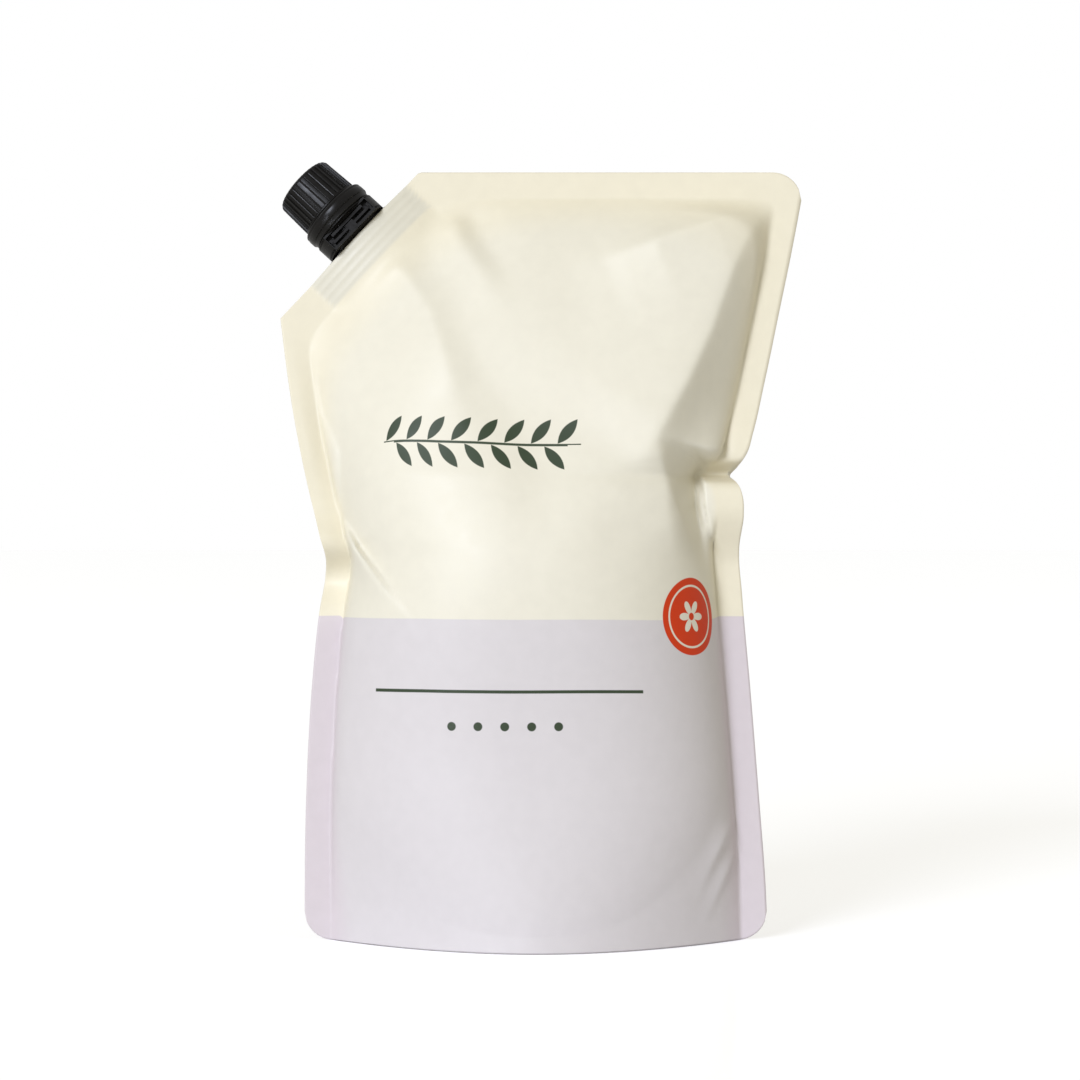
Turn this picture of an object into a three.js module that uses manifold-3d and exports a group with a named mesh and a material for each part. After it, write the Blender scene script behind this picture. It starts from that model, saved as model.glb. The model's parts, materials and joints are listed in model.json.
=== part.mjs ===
// A stand-up refill pouch of liquid hand soap: a filled film pack with a folded-in base, sealed side and top
// edges and a cut-off corner, which holds a welded spout with a tamper band and a ribbed screw cap.
// Millimetres, +Z up. The pouch faces -Y and stands on z = 0, with the origin in the middle of its base.
import * as THREE from "three";
import { mergeVertices } from "three/addons/utils/BufferGeometryUtils.js";
import Module from "manifold-3d";

const wasm = await Module();
wasm.setup();

// Pouch outline, as it stands
const pouchHeight = 266.5;
const baseWidth = 160;
const leftWaist = 74;
const rightWaist = 69.5;
const waistHeight = 134;
const topWidth = 188;
const cornerCutAcross = 53;
const cornerCutDown = 51.5;
const topCornerRadius = 10;
const baseCornerRadius = 10;

// Film seals
const sealThickness = 0.8;
const sideSeal = 9;
const topSeal = 9;
const baseSeal = 6;
const gussetHeight = 55;

// Fill, measured from the mid plane of the seals
const baseDepth = 76;
const lowerDepth = 68;
const waistDepth = 74;
const shoulderDepth = 44;
const shoulderReach = 66;
const gussetPillow = 3;
const baseGroove = 3;
const grooveInset = 4;
const footInset = 9;
const leanBack = 13;
const leanStart = 110;

// Side buckles, where the filled film pulls the sealed edges in
const rightBuckleHeight = 161;
const rightBuckleNotch = 5;
const leftBuckleHeight = 131;
const buckleSwing = 7;

// Spout, from the weld inside the film to the pouring mouth
const spoutOffset = 4.6;
const spoutLean = 6;
const weldDepth = 12;
const weldLength = 40;
const weldThickness = 9.4;
const weldGroove = 0.6;
const weldWall = 1;
const filmWall = 0.9;
const flangeLength = 26;
const flangeWidth = 17;
const flangeHeight = 6.3;
const plateThickness = 1.1;
const pocketLength = 16.5;
const pocketDepth = 2.6;
const plateBoss = 3.6;
const neckDiameter = 18.2;
const boreDiameter = 15;

// Tamper band and screw cap
const bandDiameter = 26.4;
const bandHeight = 5.6;
const bandWall = 1.4;
const capDiameter = 23.2;
const capHeight = 11.6;
const capTop = 1.4;
const capEdgeRadius = 1.3;
const ribCount = 32;
const ribHeight = 0.45;
const ribShare = 0.3;
const capTaper = 0.05;
const fitGap = 0.3;

const { clamp, lerp, smoothstep, degToRad } = THREE.MathUtils;

// Solids from meshes and back

function toSolid(geometry) {
  const bare = geometry.index ? geometry.toNonIndexed() : geometry.clone();
  bare.deleteAttribute("normal");
  bare.deleteAttribute("uv");
  const merged = mergeVertices(bare, 1e-4);
  return new wasm.Manifold(
    new wasm.Mesh({
      numProp: 3,
      vertProperties: new Float32Array(merged.attributes.position.array),
      triVerts: new Uint32Array(merged.index.array),
    }),
  );
}

function toGeometry(solid) {
  const mesh = solid.getMesh();
  const geometry = new THREE.BufferGeometry();
  geometry.setAttribute("position", new THREE.BufferAttribute(new Float32Array(mesh.vertProperties), 3));
  geometry.setIndex(new THREE.BufferAttribute(new Uint32Array(mesh.triVerts), 1));
  geometry.computeVertexNormals();
  return geometry;
}

function namedMesh(name, geometry, colour, roughness) {
  const material = new THREE.MeshStandardMaterial({ color: colour, roughness, metalness: 0 });
  const mesh = new THREE.Mesh(geometry, material);
  mesh.name = name;
  return mesh;
}

// Smooth curve through [at, value] points
function curveThrough(points) {
  const stations = points.map(([at]) => at);
  const values = points.map(([, value]) => value);
  const curve = new THREE.CubicInterpolant(stations, values, 1);
  return (at) => curve.evaluate(clamp(at, stations[0], stations.at(-1)))[0];
}

// Pouch outline: the sealed edges in the plane of the film

const upperHeight = pouchHeight - waistHeight;
const baseHalf = baseWidth / 2;
const topHalf = topWidth / 2;

const leftSpline = curveThrough([
  [0, baseHalf + 1],
  [0.35 * waistHeight, lerp(leftWaist, baseHalf + 1, 0.94)],
  [0.65 * waistHeight, lerp(leftWaist, baseHalf + 1, 0.67)],
  [0.85 * waistHeight, lerp(leftWaist, baseHalf + 1, 0.3)],
  [0.98 * waistHeight, leftWaist],
  [waistHeight + 0.25 * upperHeight, lerp(leftWaist, topHalf, 0.45)],
  [waistHeight + 0.6 * upperHeight, lerp(leftWaist, topHalf, 0.8)],
  [pouchHeight, topHalf + 1],
]);

const rightSpline = curveThrough([
  [0, baseHalf - 1],
  [0.35 * waistHeight, lerp(rightWaist, baseHalf - 1, 0.7)],
  [0.65 * waistHeight, lerp(rightWaist, baseHalf - 1, 0.36)],
  [waistHeight, rightWaist],
  [waistHeight + 0.12 * upperHeight, lerp(rightWaist, topHalf, 0.02)],
  [waistHeight + 0.25 * upperHeight, lerp(rightWaist, topHalf, 0.1)],
  [waistHeight + 0.6 * upperHeight, lerp(rightWaist, topHalf, 0.54)],
  [pouchHeight, topHalf - 0.5],
]);

const notchSpread = 6;
const leftEdge = (z) => leftSpline(z);
const rightEdge = (z) =>
  rightSpline(z) - rightBuckleNotch * Math.exp(-(((z - rightBuckleHeight) / notchSpread) ** 2));

const cutLow = new THREE.Vector2(-leftEdge(pouchHeight - cornerCutDown), pouchHeight - cornerCutDown);
const cutHigh = new THREE.Vector2(-leftEdge(pouchHeight) + cornerCutAcross, pouchHeight);
const cutAlong = cutHigh.clone().sub(cutLow).normalize();
const cutOut = new THREE.Vector2(-cutAlong.y, cutAlong.x);
const cutLength = cutHigh.distanceTo(cutLow);
const cutShare = 0.36;

// Height gained by a rounded corner, at a distance past the start of its arc
const cornerRise = (past, radius) => radius - Math.sqrt(Math.max(0, radius ** 2 - clamp(past, 0, radius) ** 2));

function bottomEdge(across) {
  const x = lerp(-leftEdge(baseCornerRadius), rightEdge(baseCornerRadius), across);
  const corner = x < 0 ? leftEdge(baseCornerRadius) : rightEdge(baseCornerRadius);
  return new THREE.Vector2(x, cornerRise(Math.abs(x) - corner + baseCornerRadius, baseCornerRadius));
}

function topEdge(across) {
  if (across < cutShare) return cutLow.clone().lerp(cutHigh, across / cutShare);
  const corner = rightEdge(pouchHeight - topCornerRadius);
  const x = lerp(cutHigh.x, corner, (across - cutShare) / (1 - cutShare));
  return new THREE.Vector2(x, pouchHeight - cornerRise(x - corner + topCornerRadius, topCornerRadius));
}

function leftSide(up) {
  const z = lerp(baseCornerRadius, cutLow.y, up);
  return new THREE.Vector2(-leftEdge(z), z);
}

function rightSide(up) {
  const z = lerp(baseCornerRadius, pouchHeight - topCornerRadius, up);
  return new THREE.Vector2(rightEdge(z), z);
}

// A point of the film, across and up from 0 to 1, blended between the four edges
function filmPoint(across, up) {
  const point = bottomEdge(across).multiplyScalar(1 - up);
  point.addScaledVector(topEdge(across), up);
  point.addScaledVector(leftSide(up), 1 - across);
  point.addScaledVector(rightSide(up), across);
  point.addScaledVector(leftSide(0), -(1 - across) * (1 - up));
  point.addScaledVector(rightSide(0), -across * (1 - up));
  point.addScaledVector(leftSide(1), -(1 - across) * up);
  return point.addScaledVector(rightSide(1), -across * up);
}

// Fill: how far the film stands off the mid plane

const bellyDepth = curveThrough([
  [0, baseDepth / 2],
  [0.45 * waistHeight, lowerDepth / 2],
  [waistHeight, waistDepth / 2],
  [waistHeight + 0.5 * upperHeight, shoulderDepth / 2],
  [pouchHeight, shoulderDepth / 2],
]);

const liftOff = (distance, reach) => 1 - (1 - clamp(distance / reach, 0, 1)) ** 2;

// Distance of a film point inside the cut corner's edge, and its place along that edge from the spout
function fromCut(x, z) {
  const dx = x - cutLow.x;
  const dz = z - cutLow.y;
  return {
    inside: -(dx * cutOut.x + dz * cutOut.y),
    along: dx * cutAlong.x + dz * cutAlong.y - cutLength / 2 - spoutOffset,
  };
}

function filledDepth(x, z) {
  const fromLeft = x + leftEdge(z) - sideSeal;
  const fromRight = rightEdge(z) - sideSeal - x;
  const fromTop = pouchHeight - topSeal - z;
  const cut = fromCut(x, z);
  const fromWeld = cut.inside - weldDepth;
  if (Math.min(fromLeft, fromRight, fromTop, fromWeld) <= 0) return 0;
  const side = Math.abs(fromRight - fromLeft) / (fromRight + fromLeft);
  const roundness = smoothstep(z, 0, gussetHeight);
  const section = (1 - side ** 2.4) ** lerp(1, 0.62, roundness);
  const gussetLine = baseSeal + (gussetHeight - baseSeal) * side ** 2.6;
  const pillow = gussetPillow * section * (1 - Math.exp(-Math.max(0, z - gussetLine) / 7));
  return (bellyDepth(z) * section + pillow) * liftOff(fromTop, shoulderReach) * liftOff(fromWeld, 50);
}

// The film's lips over the spout's weld
function lipDepth(x, z) {
  const cut = fromCut(x, z);
  const lens = Math.max(0, 1 - (cut.along / (weldLength / 2 + 5)) ** 2) ** 1.1;
  const fade = 1 - smoothstep(cut.inside, weldDepth, weldDepth + 30);
  return (weldThickness / 2 + fitGap + filmWall) * lens * fade;
}

// Folds: a crease from one film point to another, which stands out (or in, if negative) and fades at its ends

const onRight = (inset, z) => new THREE.Vector2(rightSpline(z) - inset, z);
const onLeft = (inset, z) => new THREE.Vector2(inset - leftSpline(z), z);

const frontFolds = [
  { name: "right shoulder ridge", from: onRight(12, 255), to: onRight(32, 176), rise: 6, left: 46, right: 16 },
  { name: "upper lip", from: onRight(34, 176), to: onRight(6, 169), rise: 3, left: 14, right: 7 },
  { name: "buckle valley", from: onRight(30, 169), to: onRight(4, 160), rise: -8, left: 8, right: 14 },
  { name: "ear ridge", from: onRight(12, 158), to: onRight(9, 138), rise: 5, left: 9, right: 6 },
  { name: "ear trench", from: onRight(19, 163), to: onRight(17, 133), rise: -5, left: 7, right: 13 },
  { name: "left lip", from: onLeft(8, 147), to: onLeft(25, 116), rise: 3, left: 6, right: 15 },
  { name: "left crease", from: onLeft(14, 151), to: onLeft(32, 118), rise: -2.5, left: 14, right: 7 },
  { name: "left buckle valley", from: onLeft(1, 131), to: onLeft(15, 136), rise: -5, left: 8, right: 16 },
  { name: "left flank ridge", from: onLeft(13, 137), to: onLeft(12, 60), rise: 2, left: 12, right: 14 },
  { name: "spout ridge", from: onLeft(33, 236), to: onLeft(58, 182), rise: 5, left: 22, right: 14 },
  { name: "corner ridge", from: onLeft(68, 256), to: onLeft(74, 210), rise: 4, left: 12, right: 12 },
  { name: "middle valley", from: onLeft(78, 240), to: onLeft(88, 140), rise: -4, left: 34, right: 30 },
];

const backFolds = [
  { name: "back shoulder ridge", from: onRight(12, 250), to: onRight(40, 180), rise: 4, left: 40, right: 18 },
  { name: "back buckle valley", from: onRight(30, 168), to: onRight(4, 158), rise: -8, left: 9, right: 14 },
  { name: "back left valley", from: onLeft(3, 134), to: onLeft(30, 124), rise: -6, left: 14, right: 9 },
  { name: "back spout ridge", from: onLeft(33, 236), to: onLeft(60, 180), rise: 4, left: 20, right: 14 },
  { name: "back valley", from: onLeft(80, 235), to: onLeft(78, 150), rise: -4, left: 34, right: 34 },
];

// Left and right are as seen when looking along the fold, from its start, at the outside of the front film
function foldRise(fold, x, z) {
  const run = fold.to.clone().sub(fold.from);
  const length = run.length();
  run.divideScalar(length);
  const dx = x - fold.from.x;
  const dz = z - fold.from.y;
  const along = (dx * run.x + dz * run.y) / length;
  const off = dx * run.y - dz * run.x;
  const reach = clamp(Math.abs(off) / (off < 0 ? fold.left : fold.right), 0, 1);
  const ends = smoothstep(along, -0.3, 0.2) * (1 - smoothstep(along, 0.7, 1.35));
  return fold.rise * (1 - reach ** 2) ** 2 * ends;
}

const foldsAt = (folds, x, z) => folds.reduce((sum, fold) => sum + foldRise(fold, x, z), 0);

// Mid plane: the pouch leans back towards its top, and its side seals swing where they buckle
const swing = (q) => q * Math.exp(0.5 - (q * q) / 2);

function midPlane(x, z) {
  const lean = leanBack * Math.max(0, (z - leanStart) / (pouchHeight - leanStart)) ** 1.6;
  const nearRight = 1 - smoothstep(rightSpline(z) - x, 0, 26);
  const nearLeft = 1 - smoothstep(x + leftSpline(z), 0, 24);
  const right = -buckleSwing * swing((z - rightBuckleHeight) / 6) * nearRight;
  const left = -0.5 * buckleSwing * swing((z - leftBuckleHeight) / 8) * nearLeft;
  return lean + right + left;
}

function filmDepth(folds, x, z) {
  const filled = filledDepth(x, z);
  const creases = foldsAt(folds, x, z) * smoothstep(filled, 0, 6);
  return Math.max(sealThickness / 2, Math.hypot(Math.max(0, filled + creases), lipDepth(x, z)));
}

const frontPoint = ({ x, y: z }) => new THREE.Vector3(x, midPlane(x, z) - filmDepth(frontFolds, x, z), z);
const backPoint = ({ x, y: z }) => new THREE.Vector3(x, midPlane(x, z) + filmDepth(backFolds, x, z), z);

// Pouch surface: front and back grids, joined along the sealed edges and over the base

const columns = 40;
const rows = 60;
const crowding = 0.5;

// Steps from 0 to 1: across, closer together towards both side seals; up, closer together past the buckles
const columnAt = (index) => {
  const even = index / columns;
  return lerp(even, 0.5 - 0.5 * Math.cos(Math.PI * even), crowding);
};
const rowSpacing = curveThrough([
  [0, 0],
  [0.06, 0.025],
  [0.3, 0.42],
  [0.74, 0.67],
  [0.94, 0.965],
  [1, 1],
]);
const rowAt = (index) => rowSpacing(index / rows);

function filmGrid(toPoint) {
  const grid = [];
  for (let i = 0; i <= columns; i++) {
    const column = [];
    for (let j = 0; j <= rows; j++) column.push(toPoint(filmPoint(columnAt(i), rowAt(j))));
    grid.push(column);
  }
  return grid;
}

function pouchSolid() {
  const corners = [];
  const triangle = (a, b, c) => {
    if (!a.equals(b) && !b.equals(c) && !c.equals(a)) corners.push(a, b, c);
  };
  const quad = (a, b, c, d) => {
    triangle(a, b, c);
    triangle(a, c, d);
  };
  const front = filmGrid(frontPoint);
  const back = filmGrid(backPoint);
  for (let i = 0; i < columns; i++) {
    for (let j = 0; j < rows; j++) {
      quad(front[i][j], front[i + 1][j], front[i + 1][j + 1], front[i][j + 1]);
      quad(back[i + 1][j], back[i][j], back[i][j + 1], back[i + 1][j + 1]);
    }
    quad(front[i][rows], front[i + 1][rows], back[i + 1][rows], back[i][rows]);
  }
  for (let j = 0; j < rows; j++) {
    quad(back[0][j], front[0][j], front[0][j + 1], back[0][j + 1]);
    quad(front[columns][j], back[columns][j], back[columns][j + 1], front[columns][j + 1]);
  }

  // Base: the seal's standing rim, a shallow groove inside it, and the filled gusset's flat foot
  const baseSection = (i) => {
    const start = front[i][0];
    const end = back[i][0];
    const open = smoothstep(end.y - start.y, sealThickness, baseDepth / 3);
    const closed = i === 0 || i === columns;
    const at = (inset, lift) => {
      const share = closed ? Math.round(inset / baseDepth) : inset / baseDepth;
      return start.clone().lerp(end, share).setZ(start.z + lift * open);
    };
    const nearHalf = [at(grooveInset, baseGroove), at(footInset, 0)];
    const farHalf = [at(baseDepth - footInset, 0), at(baseDepth - grooveInset, baseGroove)];
    return [start, ...nearHalf, ...farHalf, end];
  };
  for (let i = 0; i < columns; i++) {
    const here = baseSection(i);
    const next = baseSection(i + 1);
    for (let k = 0; k + 1 < here.length; k++) quad(here[k], here[k + 1], next[k + 1], next[k]);
  }
  const geometry = new THREE.BufferGeometry().setFromPoints(corners);
  return toSolid(geometry);
}

// Spout: its own axis is +Z, with the film's edge at z = 0, +X along the cut edge and +Y to the back

const flangeBottom = fitGap;
const flangeTop = flangeBottom + flangeHeight;
const bandBottom = flangeTop + fitGap;
const bandTop = bandBottom + bandHeight;
const capBottom = bandTop + fitGap;
const capUnderTop = capBottom + capHeight - capTop;
const neckTop = capUnderTop - fitGap;
const neckRadius = neckDiameter / 2;
const collarRadius = bandDiameter / 2 - bandWall - fitGap;
const capBore = neckRadius + fitGap;
const roundSteps = 40;

// Pointed oval of the weld, grown outwards by an allowance
function weldShape(grow) {
  const half = weldLength / 2 + grow;
  const bulge = weldThickness + 2 * grow;
  const shape = new THREE.Shape();
  shape.moveTo(-half, 0);
  shape.quadraticCurveTo(0, -bulge, half, 0);
  shape.quadraticCurveTo(0, bulge, -half, 0);
  return shape;
}

function extruded(shape, from, to, curveSegments = 14) {
  const geometry = new THREE.ExtrudeGeometry(shape, { depth: to - from, bevelEnabled: false, curveSegments });
  return geometry.translate(0, 0, from);
}

// Flange outline: a circle with flats at the front and back
function flangeShape() {
  const radius = flangeLength / 2;
  const turn = Math.asin(flangeWidth / flangeLength);
  const shape = new THREE.Shape();
  shape.absarc(0, 0, radius, -turn, turn, false);
  shape.absarc(0, 0, radius, Math.PI - turn, Math.PI + turn, false);
  shape.closePath();
  return shape;
}

function box(width, depth, height, x, y, z) {
  return toSolid(new THREE.BoxGeometry(width, depth, height).translate(x, y, z));
}

// Two rows of pockets in the flats leave three plates, with a boss and two end ribs on the lower row
function flangeSolid() {
  let solid = toSolid(extruded(flangeShape(), flangeBottom, flangeTop, 10));
  const pocketHeight = (flangeHeight - 3 * plateThickness) / 2;
  const pocketY = flangeWidth / 2 - pocketDepth / 2;
  const lowerZ = flangeBottom + plateThickness + pocketHeight / 2;
  const upperZ = lowerZ + pocketHeight + plateThickness;
  for (const side of [-1, 1]) {
    const y = side * (pocketY + fitGap);
    const depth = pocketDepth + 2 * fitGap;
    solid = solid.subtract(box(pocketLength, depth, pocketHeight, 0, y, upperZ));
    const half = (pocketLength - plateBoss) / 2;
    const centre = (pocketLength + plateBoss) / 4;
    solid = solid.subtract(box(half, depth, pocketHeight, -centre, y, lowerZ));
    solid = solid.subtract(box(half, depth, pocketHeight, centre, y, lowerZ));
  }
  return solid;
}

// Weld ribs: grooves round the pointed oval that the film is pressed into
function weldSolid() {
  const ribs = 4;
  const pitch = weldDepth / ribs;
  let solid = toSolid(extruded(weldShape(-weldGroove), -weldDepth, flangeBottom + plateThickness / 2));
  for (let k = 0; k < ribs; k++) {
    const top = -k * pitch - pitch / 4;
    solid = solid.add(toSolid(extruded(weldShape(0), top - pitch / 2, top)));
  }
  return solid;
}

function turned(profile, steps = roundSteps) {
  const points = profile.map(([radius, height]) => new THREE.Vector2(radius, height));
  return toSolid(new THREE.LatheGeometry(points, steps).rotateX(Math.PI / 2));
}

function rod(radius, from, to) {
  return turned([[0, from], [radius, from], [radius, to], [0, to]]);
}

function spoutSolid() {
  const neck = rod(neckRadius, flangeBottom, neckTop);
  const collar = rod(collarRadius, flangeBottom, bandBottom + 0.6 * bandHeight);
  const body = flangeSolid().add(weldSolid()).add(collar).add(neck);

  // The bore is round down to the middle of the flange, and narrows to the oval of the weld below it
  const boreRadius = boreDiameter / 2;
  const step = flangeBottom + flangeHeight / 2;
  const oval = toSolid(extruded(weldShape(-weldGroove - weldWall), -weldDepth - 1, step + 0.1));
  const throat = rod(boreRadius, -weldDepth - 1, step + 0.1).intersect(oval);
  return body.subtract(throat).subtract(rod(boreRadius, step, neckTop + 1));
}

function bandSolid() {
  const outer = bandDiameter / 2;
  const inner = outer - bandWall;
  const bead = 0.7;
  return turned([
    [inner, bandBottom],
    [outer - 0.6, bandBottom],
    [outer - 0.5, bandBottom + 0.45 * bandHeight],
    [outer, bandBottom + 0.5 * bandHeight],
    [outer, bandTop - bead],
    [outer - 0.3 * bead, bandTop - 0.3 * bead],
    [outer - bead, bandTop],
    [inner, bandTop],
    [inner, bandBottom],
  ]);
}

function capShape() {
  const outer = capDiameter / 2;
  const root = outer - ribHeight;
  const shape = new THREE.Shape();
  for (let k = 0; k < ribCount; k++) {
    const pitch = (2 * Math.PI) / ribCount;
    const marks = [
      [root, 0],
      [outer, 0.2 * ribShare],
      [outer, 0.8 * ribShare],
      [root, ribShare],
    ];
    for (const [radius, share] of marks) {
      const angle = (k + share) * pitch;
      const move = k === 0 && share === 0 ? "moveTo" : "lineTo";
      shape[move](radius * Math.cos(angle), radius * Math.sin(angle));
    }
  }
  shape.closePath();
  return shape;
}

function capSolid() {
  const outer = capDiameter / 2;
  const top = capBottom + capHeight;
  const ribbed = extruded(capShape(), capBottom, top);
  const corners = ribbed.attributes.position;
  for (let k = 0; k < corners.count; k++) {
    const narrow = 1 - capTaper * ((corners.getZ(k) - capBottom) / capHeight);
    corners.setXY(k, corners.getX(k) * narrow, corners.getY(k) * narrow);
  }
  const rim = outer * (1 - capTaper);
  const profile = [[0, capBottom - 1], [outer + 1, capBottom - 1], [outer + 1, top - 2 * capEdgeRadius]];
  for (let k = 0; k <= 4; k++) {
    const angle = (k / 4) * (Math.PI / 2);
    const inward = capEdgeRadius * (1 - Math.cos(angle));
    profile.push([rim - inward, top - capEdgeRadius * (1 - Math.sin(angle))]);
  }
  const rounded = turned([...profile, [0, top]]);
  return toSolid(ribbed).intersect(rounded).subtract(rod(capBore, capBottom - 1, capUnderTop));
}

// Assembly: the spout group stands on the middle of the cut edge, square to it and leaning back with the film

const spoutFoot = cutLow.clone().addScaledVector(cutAlong, cutLength / 2 + spoutOffset);
const onMidPlane = (p) => new THREE.Vector3(p.x, midPlane(p.x, p.y), p.y);
const alongEdge = onMidPlane(spoutFoot.clone().add(cutAlong)).sub(onMidPlane(spoutFoot)).normalize();
const outOfEdge = new THREE.Vector3(cutOut.x, 0, cutOut.y).applyAxisAngle(alongEdge, -degToRad(spoutLean));
const toBack = new THREE.Vector3().crossVectors(outOfEdge, alongEdge);
const spoutGroup = new THREE.Group();
spoutGroup.position.copy(onMidPlane(spoutFoot));
spoutGroup.setRotationFromMatrix(new THREE.Matrix4().makeBasis(alongEdge, toBack, outOfEdge));
spoutGroup.updateMatrixWorld(true);

// The film's lips are hollowed for the weld and trimmed square under the flange
const inPlace = (solid) => solid.transform(spoutGroup.matrixWorld.elements);
const weldPocket = toSolid(extruded(weldShape(fitGap), -weldDepth - fitGap, 2));
const lipTrim = box(flangeLength + 4, 2 * flangeWidth, 4, 0, 0, 2);
const pouch = pouchSolid().subtract(inPlace(weldPocket)).subtract(inPlace(lipTrim));

const filmColour = 0xe9e6d4;
const plasticColour = 0x1c1b1a;
spoutGroup.add(
  namedMesh("spout", toGeometry(spoutSolid()), plasticColour, 0.4),
  namedMesh("tamper_band", toGeometry(bandSolid()), plasticColour, 0.35),
  namedMesh("screw_cap", toGeometry(capSolid()), plasticColour, 0.45),
);

const refillPack = new THREE.Group();
refillPack.add(namedMesh("pouch", toGeometry(pouch), filmColour, 0.55), spoutGroup);

export default refillPack;
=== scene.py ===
# %% [markdown]
# A hand soap refill pack: a filled stand-up pouch of printed film, with a pouring spout in its cut corner.
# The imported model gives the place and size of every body. This script makes the surfaces that are seen: the
# film with its folds and print, and the moulded spout, tamper band and ribbed cap.

# %% Load the frame
import json
import math

import bmesh
import bpy
import numpy as np
from mathutils import Matrix, Vector


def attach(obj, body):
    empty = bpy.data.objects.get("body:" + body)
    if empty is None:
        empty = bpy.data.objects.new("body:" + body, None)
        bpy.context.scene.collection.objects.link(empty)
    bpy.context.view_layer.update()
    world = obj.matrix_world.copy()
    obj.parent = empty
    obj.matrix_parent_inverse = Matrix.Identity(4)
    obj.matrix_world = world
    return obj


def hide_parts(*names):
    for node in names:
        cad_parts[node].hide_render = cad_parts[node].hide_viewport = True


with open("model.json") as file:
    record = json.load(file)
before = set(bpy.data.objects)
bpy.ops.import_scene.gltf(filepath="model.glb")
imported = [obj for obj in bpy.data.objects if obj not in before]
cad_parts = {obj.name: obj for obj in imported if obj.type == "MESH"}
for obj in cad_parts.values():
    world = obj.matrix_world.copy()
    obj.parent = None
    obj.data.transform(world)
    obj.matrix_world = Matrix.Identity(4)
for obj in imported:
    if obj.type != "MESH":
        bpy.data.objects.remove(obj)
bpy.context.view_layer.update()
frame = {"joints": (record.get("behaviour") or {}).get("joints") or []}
MM = 0.001

# %% [markdown]
# The camera comes first, because every later choice is judged through it. The photograph was taken with a long
# lens from about a metre away, level with the middle of the pouch.

# %% Camera
camera_data = bpy.data.cameras.new("camera")
camera_data.lens = 100
camera_data.sensor_width = 36
camera = bpy.data.objects.new("camera", camera_data)
camera.location = (0.0003, -1.036, 0.138)
camera.rotation_euler = (math.radians(90), 0, 0)
bpy.context.collection.objects.link(camera)
bpy.context.scene.camera = camera
bpy.context.scene.view_settings.view_transform = "Standard"
print("camera at", tuple(round(v, 3) for v in camera.location))

# %% [markdown]
# The film's outline. Both films of the pouch are cut to one shape and sealed along its edge. Filling the pouch
# pulls its sides in at the waist, so the standing outline is drawn with a smooth curve down each side. It could
# be traced as one long polygon, but a few stations and a smooth curve are easier to set right. All lengths of
# the film are in millimetres, and become metres when the mesh is made.

# %% Film outline
POUCH_HEIGHT = 266.5
WAIST_HEIGHT = 134
CORNER_RADIUS = 10
CUT_LOW = np.array([-89.9, 215.0])
CUT_HIGH = np.array([-42.0, POUCH_HEIGHT])
CUT_SHARE = 0.36


def curve_through(points):
    """A smooth curve through (at, value) points, as a function of an array."""
    stations, values = np.array(points, float).T
    slopes = np.gradient(values, stations)

    def curve(at):
        at = np.clip(at, stations[0], stations[-1])
        k = np.clip(np.searchsorted(stations, at, side="right") - 1, 0, len(stations) - 2)
        span = stations[k + 1] - stations[k]
        t = (at - stations[k]) / span
        rise = t * t * (3 - 2 * t)
        ends = values[k] * (1 - rise) + values[k + 1] * rise
        return ends + span * t * (1 - t) * (slopes[k] * (1 - t) - slopes[k + 1] * t)

    return curve


left_edge = curve_through(
    [(0, 81), (47, 80.6), (87, 78.7), (114, 76.1), (126, 74.4), (132, 74), (140, 76), (154, 79.7),
     (168, 82.8), (188, 86.6), (209, 89.7), (POUCH_HEIGHT, 95)]
)
right_edge = curve_through(
    [(0, 79), (22, 78), (47, 76.1), (87, 72.9), (119, 70.1), (136, 69), (147, 70.2), (153, 69.8), (157, 68.4),
     (160, 66.2), (163, 68.4), (167.6, 71.5), (175, 73.9), (195, 78.7), (216, 83.2), (237, 87.7),
     (POUCH_HEIGHT, 93.5)]
)
smooth_right_edge = curve_through(
    [(0, 79), (47, 76.1), (87, 72.9), (136, 69.4), (160, 71), (195, 78.7), (POUCH_HEIGHT, 93.5)]
)


def lerp(start, end, share):
    return start + (end - start) * share


def smoothstep(value, low, high):
    t = np.clip((value - low) / (high - low), 0, 1)
    return t * t * (3 - 2 * t)


def corner_rise(past):
    return CORNER_RADIUS - np.sqrt(np.maximum(0, CORNER_RADIUS**2 - np.clip(past, 0, CORNER_RADIUS) ** 2))


def bottom_edge(across):
    x = lerp(-left_edge(CORNER_RADIUS), right_edge(CORNER_RADIUS), across)
    corner = np.where(x < 0, left_edge(CORNER_RADIUS), right_edge(CORNER_RADIUS))
    return np.stack([x, corner_rise(np.abs(x) - corner + CORNER_RADIUS)], -1)


def top_edge(across):
    corner = right_edge(POUCH_HEIGHT - CORNER_RADIUS)
    on_cut = lerp(CUT_LOW, CUT_HIGH, across[..., None] / CUT_SHARE)
    x = lerp(CUT_HIGH[0], corner, (across - CUT_SHARE) / (1 - CUT_SHARE))
    on_top = np.stack([x, POUCH_HEIGHT - corner_rise(x - corner + CORNER_RADIUS)], -1)
    return np.where(across[..., None] < CUT_SHARE, on_cut, on_top)


def left_side(up):
    z = lerp(CORNER_RADIUS, CUT_LOW[1], up)
    return np.stack([-left_edge(z), z], -1)


def right_side(up):
    z = lerp(CORNER_RADIUS, POUCH_HEIGHT - CORNER_RADIUS, up)
    return np.stack([right_edge(z), z], -1)


def film_points(across, up):
    """Points (x, z) of the film, blended between its four edges, for across and up from 0 to 1."""
    a, u = across[..., None], up[..., None]
    zero, one = np.zeros(1), np.ones(1)
    edges = bottom_edge(across) * (1 - u) + top_edge(across) * u
    edges = edges + left_side(up) * (1 - a) + right_side(up) * a
    corners = left_side(zero) * (1 - a) * (1 - u) + right_side(zero) * a * (1 - u)
    return edges - corners - left_side(one) * (1 - a) * u - right_side(one) * a * u


print("film outline:", round(float(left_edge(200.0) + right_edge(200.0)), 1), "mm wide at a height of 200 mm")

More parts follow.
